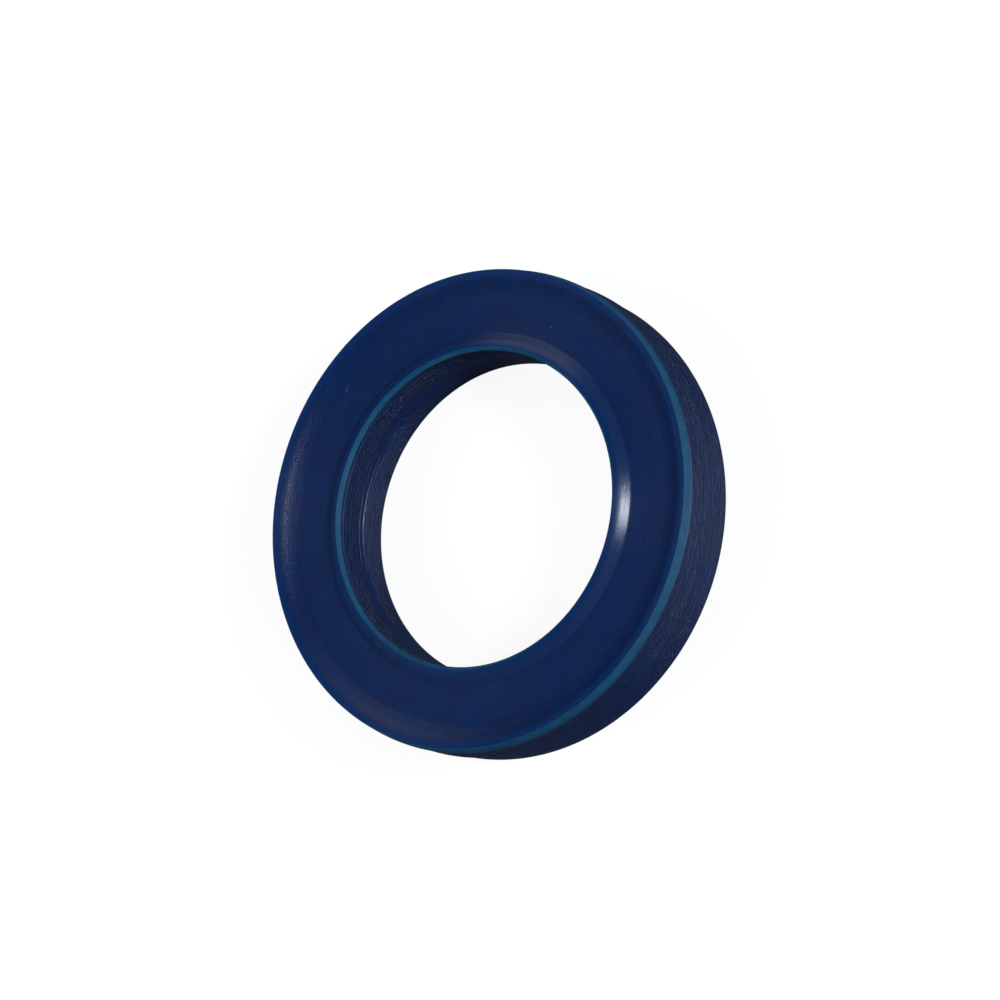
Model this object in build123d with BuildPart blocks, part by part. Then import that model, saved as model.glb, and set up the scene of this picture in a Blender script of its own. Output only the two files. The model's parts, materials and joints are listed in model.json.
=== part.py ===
import os

from build123d import *

# U cup seal, in millimetres: one moulded polyurethane ring that lies flat on its heel.
# The origin is the centre of the heel face, and +Z is the seal's axis, towards its lips.

# Driving dimensions: the rod and the housing that the seal works between, and its height.
rod_diameter = 25.4
housing_bore = 38.1
seal_height = 6.6

# Heel: the solid ring behind the lips. It runs clear of the rod and is held by the housing.
heel_rod_clearance = 0.15
heel_housing_squeeze = 0.05
heel_chamfer = 0.12
outer_heel_height = 0.95
inner_heel_height = 2.0

# Lips: how far each sealing edge reaches past the surface that it seals on.
outer_lip_reach = 0.2
inner_lip_reach = 0.13

# Trimmed faces: the cones that the knife leaves between a lip's top and its sealing edge.
outer_trim_width = 0.18
outer_trim_height = 0.97
inner_trim_width = 0.25
inner_trim_height = 0.37

# Lip tops: a narrow land that falls a little from the trimmed face towards the mouth.
outer_land_width = 0.6
inner_land_width = 0.43
land_drop = 0.08

# Mouth: the shallow U between the lips, its flanks rounded into a dished floor.
mouth_depth = 1.05
floor_dish = 0.25
outer_flank_width = 0.8
inner_flank_width = 0.75
outer_flank_radius = 2.2
inner_flank_radius = 1.0

# Ribs: the low ridge round each wall, which parts the lip from the heel.
outer_rib_height = 3.0
outer_rib_reach = 0.2
inner_rib_height = 3.75
inner_rib_reach = 0.13

# Hollows: how deep each wall is dished behind its sealing edge, and behind its rib.
outer_lip_hollow = 0.26
outer_heel_hollow = 0.2
inner_lip_hollow = 0.19
inner_heel_hollow = 0.17

# Radii and heights that follow from the driving dimensions.
outer_heel_r = housing_bore / 2 + heel_housing_squeeze
inner_heel_r = rod_diameter / 2 + heel_rod_clearance
outer_edge_r = housing_bore / 2 + outer_lip_reach
inner_edge_r = rod_diameter / 2 - inner_lip_reach
outer_tip_r = outer_edge_r - outer_trim_width
inner_tip_r = inner_edge_r + inner_trim_width
outer_land_r = outer_tip_r - outer_land_width
inner_land_r = inner_tip_r + inner_land_width
land_z = seal_height - land_drop
foot_z = seal_height - mouth_depth + floor_dish

# A flank's round takes at most this much of the floor, so that a narrow ring keeps its dish.
floor_width = outer_land_r - outer_flank_width - inner_flank_width - inner_land_r
widest_round = 0.65 * floor_width

# The cross-section, drawn to the right of the axis and turned once round it.
with BuildPart() as u_cup_seal:
    with BuildSketch(Plane.XZ) as section:
        with BuildLine():
            # Outer wall, from the heel face up to the sealing edge: heel, hollow, rib, hollow.
            outer_heel = Line((outer_heel_r, 0), (outer_heel_r, outer_heel_height))
            outer_rib = (outer_heel_r + outer_rib_reach, outer_rib_height)
            outer_edge = (outer_edge_r, seal_height - outer_trim_height)
            SagittaArc(outer_heel @ 1, outer_rib, outer_heel_hollow)
            SagittaArc(outer_rib, outer_edge, outer_lip_hollow)

            # Outer lip: the trimmed cone, the land on top, and the flank down into the mouth.
            outer_lip = Polyline(
                outer_edge,
                (outer_tip_r, seal_height),
                (outer_land_r, land_z),
                (outer_land_r - outer_flank_width, foot_z),
            )

            # Bore wall, in the same order.
            inner_heel = Line((inner_heel_r, 0), (inner_heel_r, inner_heel_height))
            inner_rib = (inner_heel_r - inner_rib_reach, inner_rib_height)
            inner_edge = (inner_edge_r, seal_height - inner_trim_height)
            SagittaArc(inner_heel @ 1, inner_rib, -inner_heel_hollow)
            SagittaArc(inner_rib, inner_edge, -inner_lip_hollow)

            # Inner lip.
            inner_lip = Polyline(
                inner_edge,
                (inner_tip_r, seal_height),
                (inner_land_r, land_z),
                (inner_land_r + inner_flank_width, foot_z),
            )

            # The floor of the mouth and the heel face close the section.
            SagittaArc(outer_lip @ 1, inner_lip @ 1, floor_dish)
            Line(inner_heel @ 0, outer_heel @ 0)
        make_face()

        # The flanks run into the floor in a round, and the heel's corners are broken for assembly.
        for foot, radius in ((outer_lip @ 1, outer_flank_radius), (inner_lip @ 1, inner_flank_radius)):
            fillet(section.vertices().sort_by_distance(foot)[0], min(radius, widest_round))
        chamfer(section.vertices().group_by(Axis.Y)[0], heel_chamfer)
    revolve(axis=Axis.Z)

u_cup_seal.part.label = "u_cup_seal"
os.makedirs("parts", exist_ok=True)
export_step(u_cup_seal.part, "parts/u_cup_seal.step")
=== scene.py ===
import json
import math

import bpy
from mathutils import Matrix, Vector


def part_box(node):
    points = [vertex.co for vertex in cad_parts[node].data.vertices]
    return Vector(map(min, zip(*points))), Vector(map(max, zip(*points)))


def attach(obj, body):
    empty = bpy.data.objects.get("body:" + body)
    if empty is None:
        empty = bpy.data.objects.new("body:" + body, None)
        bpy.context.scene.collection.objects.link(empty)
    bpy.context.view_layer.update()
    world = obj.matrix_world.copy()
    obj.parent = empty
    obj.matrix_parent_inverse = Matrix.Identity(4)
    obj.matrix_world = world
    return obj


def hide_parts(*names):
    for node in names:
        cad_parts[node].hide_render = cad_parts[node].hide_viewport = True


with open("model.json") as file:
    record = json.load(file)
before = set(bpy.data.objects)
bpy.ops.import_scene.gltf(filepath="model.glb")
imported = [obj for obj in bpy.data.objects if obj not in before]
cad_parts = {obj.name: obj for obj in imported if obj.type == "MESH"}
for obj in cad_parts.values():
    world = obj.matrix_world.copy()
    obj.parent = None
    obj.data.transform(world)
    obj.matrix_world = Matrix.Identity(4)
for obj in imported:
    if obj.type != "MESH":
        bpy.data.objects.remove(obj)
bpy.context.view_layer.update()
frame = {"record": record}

mm = 0.001
node_low, node_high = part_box("u_cup_seal")
mounts = {mount["name"]: mount["dims"] for mount in frame["record"]["mounts"]}


# The heel. A U cup is one moulded ring of polyurethane, and its solid back carries the load.
# The section is drawn here as a line of points, from the middle of the heel face outwards.
seal_height = node_high.z - node_low.z
heel_outer_r = mounts["housing_seat"]["r_mm"] * mm
heel_inner_r = mounts["rod_bore"]["r_mm"] * mm
heel_outer_height = 0.95 * mm
heel_inner_height = 2.0 * mm

pen = Vector(((heel_inner_r + heel_outer_r) / 2, 0, 0))
corners = []


def line_to(radius, height, rounding=0):
    """Draws the section on to a radius and a height, and notes how far the corner there is rounded."""
    end = Vector((radius, 0, height))
    bpy.ops.mesh.extrude_vertices_move(TRANSFORM_OT_translate={"value": end - pen})
    pen.xyz = end
    if rounding:
        corners.append((end, rounding))


bpy.ops.object.select_all(action="DESELECT")
bpy.ops.mesh.primitive_circle_add(vertices=3, radius=1 * mm)
seal = bpy.context.object
seal.name = seal.data.name = "u_cup_ring"
bpy.ops.object.mode_set(mode="EDIT")
bpy.ops.mesh.merge(type="CENTER")
bpy.ops.transform.translate(value=pen)
heel_start = pen.copy()
line_to(heel_outer_r, 0, 0.08 * mm)
line_to(heel_outer_r, heel_outer_height)


# The outer wall, which is dished above and below the low rib that parts the lip from the heel.
# The mould was turned on a lathe, and its tool marks are left round the wall as faint ridges.
outer_rib_r = node_high.x
outer_rib_height = 3.0 * mm
outer_edge_r = 19.25 * mm
outer_edge_height = 5.63 * mm
outer_heel_hollow = 0.2 * mm
outer_lip_hollow = 0.26 * mm
ridge_pitch = 0.54 * mm
ridge_depth = 0.032 * mm
ridge_steps = 8


def hollow_to(radius, height, depth, rounding=0):
    """Draws a dished wall on to a radius and a height, with the tool's ridges on it."""
    start, end = pen.copy(), Vector((radius, 0, height))
    run = end - start
    inward = Vector((-run.z, 0, run.x)).normalized()
    steps = max(8, round(run.length / ridge_pitch * ridge_steps))
    for step in range(1, steps):
        share = step / steps
        faded = ridge_depth * math.sin(math.pi * share) ** 0.5
        ridge = faded * math.cos(math.tau * share * run.length / ridge_pitch)
        point = start + run * share + inward * (4 * depth * share * (1 - share) + ridge)
        line_to(point.x, point.z)
    line_to(radius, height, rounding)


hollow_to(outer_rib_r, outer_rib_height, outer_heel_hollow, 0.08 * mm)
hollow_to(outer_edge_r, outer_edge_height, outer_lip_hollow, 0.03 * mm)


# The outer lip. It is moulded long and trimmed with a knife, which leaves a narrow steep cone of
# fresh material between the sealing edge and the lip's top.
outer_tip_r = outer_edge_r - 0.18 * mm
outer_land_r = outer_tip_r - 0.6 * mm
land_height = seal_height - 0.08 * mm

line_to(outer_tip_r, seal_height, 0.05 * mm)
line_to(outer_land_r, land_height, 0.45 * mm)


# The mouth, a shallow U whose flanks run into a dished floor. Pressure in it spreads the lips.
mouth_depth = 1.05 * mm
floor_dish = 0.25 * mm
outer_foot_r = outer_land_r - 0.95 * mm
inner_tip_r = 12.82 * mm
inner_land_r = inner_tip_r + 0.43 * mm
inner_foot_r = inner_land_r + 0.75 * mm
foot_height = seal_height - mouth_depth + floor_dish

line_to(outer_foot_r, foot_height, 0.8 * mm)
line_to((outer_foot_r + inner_foot_r) / 2, seal_height - mouth_depth, 1.1 * mm)
line_to(inner_foot_r, foot_height, 0.12 * mm)


# The inner lip, which grips the rod. Its trimmed cone is shorter and lies flatter.
inner_edge_r = 12.57 * mm
inner_edge_height = seal_height - 0.37 * mm

line_to(inner_land_r, land_height, 0.36 * mm)
line_to(inner_tip_r, seal_height, 0.06 * mm)
line_to(inner_edge_r, inner_edge_height, 0.04 * mm)


# The bore wall, dished and ribbed like the outer wall, down to the heel's plain bore.
# It closes the section, which is then turned once round the axis.
inner_rib_r = heel_inner_r - 0.13 * mm
inner_rib_height = 3.75 * mm
inner_lip_hollow = 0.27 * mm
inner_heel_hollow = 0.17 * mm
turn_steps = 360
corner_steps = 5
corner_reach = 0.01 * mm
merge_distance = 0.001 * mm
smooth_below = math.radians(40)

hollow_to(inner_rib_r, inner_rib_height, inner_lip_hollow, 0.08 * mm)
hollow_to(heel_inner_r, heel_inner_height, inner_heel_hollow)
line_to(heel_inner_r, 0, 0.08 * mm)
line_to(heel_start.x, 0)


def select_near(place, reach):
    """Selects the section's points that lie within reach of a place."""
    bpy.ops.mesh.select_all(action="DESELECT")
    bpy.ops.object.mode_set(mode="OBJECT")
    for point in seal.data.vertices:
        point.select = (point.co - place).length < reach
    bpy.ops.object.mode_set(mode="EDIT")


for place, rounding in corners:
    select_near(place, corner_reach)
    bpy.ops.mesh.bevel(offset=rounding, affect="VERTICES", segments=corner_steps, clamp_overlap=True)

bpy.ops.mesh.select_all(action="SELECT")
bpy.ops.mesh.remove_doubles(threshold=merge_distance)
bpy.ops.mesh.spin(steps=turn_steps, angle=math.tau, center=(0, 0, 0), axis=(0, 0, 1))
bpy.ops.mesh.select_all(action="SELECT")
bpy.ops.mesh.remove_doubles(threshold=merge_distance)
bpy.ops.mesh.normals_make_consistent(inside=False)
bpy.ops.object.mode_set(mode="OBJECT")
bpy.ops.object.shade_smooth_by_angle(angle=smooth_below)


# The polyurethane: deep navy, semi-gloss where the mould polished it, a little mottled, and
# paler, matt and greenish where the knife cut the skin off the two lips.
polyurethane = bpy.data.materials.new("navy_polyurethane")
polyurethane.use_nodes = True
nodes, links = polyurethane.node_tree.nodes, polyurethane.node_tree.links
shader = nodes["Principled BSDF"]
shader.inputs["Specular IOR Level"].default_value = 0.5

navy = (0.0003, 0.0162, 0.077, 1)
purple_navy = (0.0048, 0.0115, 0.054, 1)
# The next colour is painted light: the brighter blue glow of light showing through the thin edges of the
# lips.
lip_glow_blue = (0.0002, 0.019, 0.088, 1)
cut_teal = (0.003, 0.07, 0.14, 1)
# The next colour is a painted sheen: the pale reflection that the inner lip's flank shows.
painted_flank_sheen_blue = (0.006, 0.021, 0.078, 1)
dust = (0.13, 0.18, 0.23, 1)

mottle_size = 2.2 * mm
fine_mottle_size = 0.55 * mm
streak_width = 0.12 * mm
streak_length = 3 * mm
score_width = 0.15 * mm
score_length = 1.1 * mm
grain_size = 0.12 * mm
ragged_size = 0.35 * mm
ragged_reach = 0.12 * mm

mould_roughness = (0.26, 0.31)
wall_roughness = (0.3, 0.46)
cut_roughness = 0.95
streak_height = 0.0015 * mm
grain_height = 0.008 * mm
score_height = 0.15 * mm
pit_height = 0.2 * mm
outer_flank_pitting = 0.12


def put(into, value):
    """Sets a socket to a number or a colour, or joins another node's output to it."""
    if isinstance(value, bpy.types.NodeSocket):
        links.new(value, into)
    elif value is not None:
        into.default_value = value


def maths(operation, first, second=None, third=None, clamp=False):
    """Adds one step of arithmetic."""
    node = nodes.new("ShaderNodeMath")
    node.operation = operation
    node.use_clamp = clamp
    for socket, value in zip(node.inputs, (first, second, third)):
        put(socket, value)
    return node.outputs[0]


def between(value, low, high, soft):
    """A mask that is 1 from low to high and fades to 0 over the soft distance outside."""
    rise = nodes.new("ShaderNodeMapRange")
    fall = nodes.new("ShaderNodeMapRange")
    for ramp, dark, light in ((rise, low - soft, low), (fall, high + soft, high)):
        ramp.interpolation_type = "SMOOTHSTEP"
        put(ramp.inputs["Value"], value)
        ramp.inputs["From Min"].default_value = dark
        ramp.inputs["From Max"].default_value = light
    return maths("MULTIPLY", rise.outputs[0], fall.outputs[0])


def blend(share, first, second):
    """Mixes two colours by a share from 0 to 1."""
    node = nodes.new("ShaderNodeMix")
    node.data_type = "RGBA"
    put(node.inputs["Factor"], share)
    put(node.inputs["A"], first)
    put(node.inputs["B"], second)
    return node.outputs["Result"]


def sharpened(noise, gain):
    """Raises the contrast of noise round its middle, and keeps it from 0 to 1."""
    return maths("MULTIPLY_ADD", noise, gain, (1 - gain) / 2, clamp=True)


def scaled(share, low, high):
    """Takes a share from 0 to 1 on to a range."""
    return maths("MULTIPLY_ADD", share, high - low, low)


place_node = nodes.new("ShaderNodeTexCoord")
place = place_node.outputs["Object"]
parts = nodes.new("ShaderNodeSeparateXYZ")
links.new(place, parts.inputs[0])
x, y, z = parts.outputs
radius = maths("SQRT", maths("ADD", maths("MULTIPLY", x, x), maths("MULTIPLY", y, y)))


def patches(size, detail=2, roughness=0.5, stretch=None):
    """Cloudy noise with patches of a size, or drawn out round the ring by a stretch."""
    noise = nodes.new("ShaderNodeTexNoise")
    noise.inputs["Detail"].default_value = detail
    noise.inputs["Roughness"].default_value = roughness
    noise.inputs["Scale"].default_value = 1
    if stretch is None:
        links.new(place, noise.inputs["Vector"])
        noise.inputs["Scale"].default_value = 1 / size
    else:
        noise.noise_dimensions = "4D"
        along = nodes.new("ShaderNodeCombineXYZ")
        put(along.inputs[0], maths("DIVIDE", maths("DIVIDE", x, radius), stretch / outer_edge_r))
        put(along.inputs[1], maths("DIVIDE", maths("DIVIDE", y, radius), stretch / outer_edge_r))
        put(along.inputs[2], maths("DIVIDE", z, size))
        links.new(along.outputs[0], noise.inputs["Vector"])
        put(noise.inputs["W"], maths("DIVIDE", radius, size))
    return noise.outputs[0]


mottle = sharpened(patches(mottle_size, 4, 0.65), 3.4)
fine_mottle = sharpened(patches(fine_mottle_size, 3, 0.6), 3.6)
streaks = sharpened(patches(streak_width, 3, 0.6, stretch=streak_length), 2.4)
scores = sharpened(patches(score_width, 3, 0.7, stretch=score_length), 2.0)
grain = patches(grain_size, 3, 0.65)
ragged = maths("MULTIPLY_ADD", patches(ragged_size, 3, 0.6), ragged_reach, -ragged_reach / 2)
off_radius = maths("ADD", radius, ragged)
off_height = maths("ADD", z, ragged)

# The moulded skin, a painted sheen on the inner lip's flank, a bluer band along each lip that paints the
# light showing through the thin lips, and the two cut cones with their ragged edges.
skin = blend(scaled(mottle, 0.0, 0.65), navy, purple_navy)
skin = blend(scaled(fine_mottle, 0.0, 0.35), skin, purple_navy)
# Painted sheen: the inner lip's flank is lightened as though it caught a pale reflection.
inner_flank_sheen_mask = between(radius, inner_land_r + 0.1 * mm, inner_foot_r - 0.2 * mm, 0.25 * mm)
skin = blend(inner_flank_sheen_mask, skin, painted_flank_sheen_blue)
# Painted light: a bluer band along each lip, where light shows through the thin lip.
lip_glow_band = maths(
    "MAXIMUM",
    between(off_radius, outer_land_r + 0.25 * mm, outer_edge_r, 0.3 * mm),
    between(off_radius, 0, inner_land_r - 0.15 * mm, 0.2 * mm),
)
lip_glow_band = maths("MULTIPLY", lip_glow_band, between(z, foot_height, seal_height, 0.5 * mm))
outer_cut = maths(
    "MULTIPLY",
    between(off_radius, outer_tip_r, outer_edge_r + 1 * mm, 0.07 * mm),
    between(off_height, outer_edge_height + 0.4 * mm, seal_height + 1 * mm, 0.65 * mm),
)
inner_cut = maths(
    "MULTIPLY",
    between(off_radius, 0, inner_tip_r - 0.03 * mm, 0.09 * mm),
    between(off_height, inner_edge_height, seal_height + 1 * mm, 0.08 * mm),
)
cut = maths("ADD", outer_cut, inner_cut, clamp=True)
# The cut cones' teal is patched in places with the bluer painted glow of the thin lips.
worn_teal_and_lip_glow = blend(scaled(maths("MAXIMUM", mottle, fine_mottle), 0.0, 0.4), cut_teal, lip_glow_blue)


def spot(heading, out, size, low=3 * mm):
    """A mask for one speck of a size, at a heading and a distance out from the axis."""
    turn = math.radians(heading)
    along = maths("SUBTRACT", x, out * math.cos(turn))
    across = maths("SUBTRACT", y, out * math.sin(turn))
    off = maths("SQRT", maths("ADD", maths("MULTIPLY", along, along), maths("MULTIPLY", across, across)))
    return maths("MULTIPLY", between(off, -1, size, size / 2), between(z, low, low + 0.5 * mm, 3 * mm))


# Handling has left a few pale specks in the mouth and one on each lip.
specks = spot(60, 14.39 * mm, 0.07 * mm)
for heading, out, size in (
    (70.2, 16.81 * mm, 0.09 * mm),
    (69.2, 16.9 * mm, 0.07 * mm),
    (-4.2, 15.37 * mm, 0.08 * mm),
    (-159.7, 13.26 * mm, 0.11 * mm),
    (-76, 18.7 * mm, 0.08 * mm),
):
    specks = maths("MAXIMUM", specks, spot(heading, out, size))
# The moulded skin takes the painted glow band along each lip.
moulded = blend(lip_glow_band, skin, lip_glow_blue)
put(shader.inputs["Base Color"], blend(specks, blend(cut, moulded, worn_teal_and_lip_glow), dust))


# The mould's turning marks run round the ring, so a highlight spreads across them.
gloss = scaled(streaks, *mould_roughness)
shader.inputs["Anisotropic"].default_value = 0.8
shader.inputs["Anisotropic Rotation"].default_value = 0.25
around = nodes.new("ShaderNodeTangent")
around.direction_type = "RADIAL"
around.axis = "Z"
links.new(around.outputs[0], shader.inputs["Tangent"])

# On the two walls the tool marks are deepest, and the mouth is almost smooth. Under the inner lip
# and, less so, on the outer flank, the mould was pitted.
walls = maths(
    "MAXIMUM",
    between(radius, outer_tip_r - 0.2 * mm, outer_rib_r + 1 * mm, 0.1 * mm),
    between(radius, 0, inner_tip_r + 0.05 * mm, 0.1 * mm),
)
walls = maths("MULTIPLY", walls, between(z, -1 * mm, outer_edge_height - 0.1 * mm, 0.3 * mm))
outer_flank = between(radius, outer_foot_r - 0.1 * mm, outer_land_r, 0.3 * mm)
worn = maths("MULTIPLY", walls, scaled(scores, *wall_roughness))
worn = maths("MAXIMUM", worn, maths("MULTIPLY", cut, cut_roughness))
put(shader.inputs["Roughness"], maths("MAXIMUM", gloss, worn))
under_lip = between(radius, 0, inner_tip_r + 0.3 * mm, 0.1 * mm)
lip_span = between(z, inner_rib_height, inner_edge_height - 1 * mm, 0.4 * mm)
under_lip = maths("MULTIPLY", under_lip, lip_span)
pitted = maths("MAXIMUM", under_lip, maths("MULTIPLY", outer_flank, outer_flank_pitting))
smooth_marks = maths("MULTIPLY_ADD", streaks, streak_height, maths("MULTIPLY", grain, grain_height))
pits = maths("MULTIPLY", maths("MULTIPLY", grain, pitted), pit_height)
deep_marks = maths("MULTIPLY_ADD", maths("MULTIPLY", scores, walls), score_height, pits)
bump = nodes.new("ShaderNodeBump")
bump.inputs["Strength"].default_value = 1
bump.inputs["Distance"].default_value = 1
put(bump.inputs["Height"], maths("ADD", smooth_marks, deep_marks))
links.new(bump.outputs[0], shader.inputs["Normal"])

seal.data.materials.append(polyurethane)
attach(seal, "root")
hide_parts("u_cup_seal")


# The bench that the seal lies on: plain paper that glows to the camera, so that it shows as white
# and only the seal's faint shadow is left. It is dim in reflections.
floor_width = 3.0
floor_paper = (0.12, 0.12, 0.12, 1)
floor_glow = 0.9
floor_glare = 0.02

bpy.ops.object.select_all(action="DESELECT")
bpy.ops.mesh.primitive_plane_add(size=floor_width, location=(0, 0, node_low.z))
floor = bpy.context.object
floor.name = "bench"
bench = bpy.data.materials.new("white_bench")
bench.use_nodes = True
nodes, links = bench.node_tree.nodes, bench.node_tree.links
paint = nodes["Principled BSDF"]
paint.inputs["Base Color"].default_value = floor_paper
paint.inputs["Roughness"].default_value = 0.9
paint.inputs["Specular IOR Level"].default_value = 0
rays = nodes.new("ShaderNodeLightPath")
mirrored = maths("MAXIMUM", rays.outputs["Is Glossy Ray"], rays.outputs["Is Transmission Ray"])
glow_seen = maths("MULTIPLY", rays.outputs["Is Camera Ray"], floor_glow)
seen = maths("MULTIPLY_ADD", mirrored, floor_glare, glow_seen)
glow = nodes.new("ShaderNodeEmission")
links.new(seen, glow.inputs["Strength"])
backdrop = nodes.new("ShaderNodeAddShader")
links.new(paint.outputs[0], backdrop.inputs[0])
links.new(glow.outputs[0], backdrop.inputs[1])
links.new(backdrop.outputs[0], nodes["Material Output"].inputs["Surface"])
floor.data.materials.append(bench)


# Soft studio light: a key beside the camera and a dim box at the side, which show in the gloss, and
# three boxes that only lift the shadows, as polarised lamps do. The room round them is pale and dim.
def softbox(name, heading, elevation, distance, size, level, colour=(1, 1, 1)):
    """Adds a square lamp that lights a facing surface at a level, where 1 shows a colour as it is."""
    bpy.ops.object.light_add(type="AREA")
    lamp = bpy.context.object
    lamp.name = name
    turn, rise = math.radians(heading), math.radians(elevation)
    lamp.location = distance * Vector(
        (math.cos(turn) * math.cos(rise), math.sin(turn) * math.cos(rise), math.sin(rise))
    )
    lamp.rotation_euler = (-lamp.location).to_track_quat("-Z", "Y").to_euler()
    lamp.data.size = size
    lamp.data.energy = level * (math.pi * distance) ** 2
    lamp.data.color = colour
    return lamp


softbox("key_softbox", -65, 33, 0.9, 0.18, 0.8, (0.92, 1, 1.1))
softbox("side_softbox", 32, 24, 0.9, 0.6, 0.1)
polarised = (
    softbox("overhead_softbox", 90, 85, 1.0, 2.0, 0.08),
    softbox("fill_softbox", 120, 38, 1.0, 1.0, 0.97),
    softbox("front_softbox", -100, 24, 1.0, 0.8, 0.36),
)
for lamp in polarised:
    lamp.visible_glossy = False
room_level = 0.045
room = bpy.data.worlds.new("pale_room")
bpy.context.scene.world = room
room.use_nodes = True
air = room.node_tree.nodes["Background"]
air.inputs["Color"].default_value = (1, 1, 1, 1)
air.inputs["Strength"].default_value = room_level


# The camera looks down on the lips from the front, and is held turned on its side.
camera_elevation = math.radians(55.88)
camera_roll = math.radians(-71.35)
camera_distance = 256.1 * mm
camera_aim = Vector((1.235 * mm, -0.219 * mm, seal_height / 2))

camera_data = bpy.data.cameras.new("studio_camera")
camera = bpy.data.objects.new("studio_camera", camera_data)
bpy.context.scene.collection.objects.link(camera)
camera_data.lens = 116.84
camera_data.sensor_width = 36
camera_data.clip_start = 0.01
camera.location = camera_aim + camera_distance * Vector(
    (0, -math.cos(camera_elevation), math.sin(camera_elevation))
)
tilt = Matrix.Rotation(math.pi / 2 - camera_elevation, 3, "X")
roll = Matrix.Rotation(camera_roll, 3, "Z")
camera.rotation_euler = (tilt @ roll).to_euler()
bpy.context.scene.camera = camera
bpy.context.scene.view_settings.view_transform = "Standard"
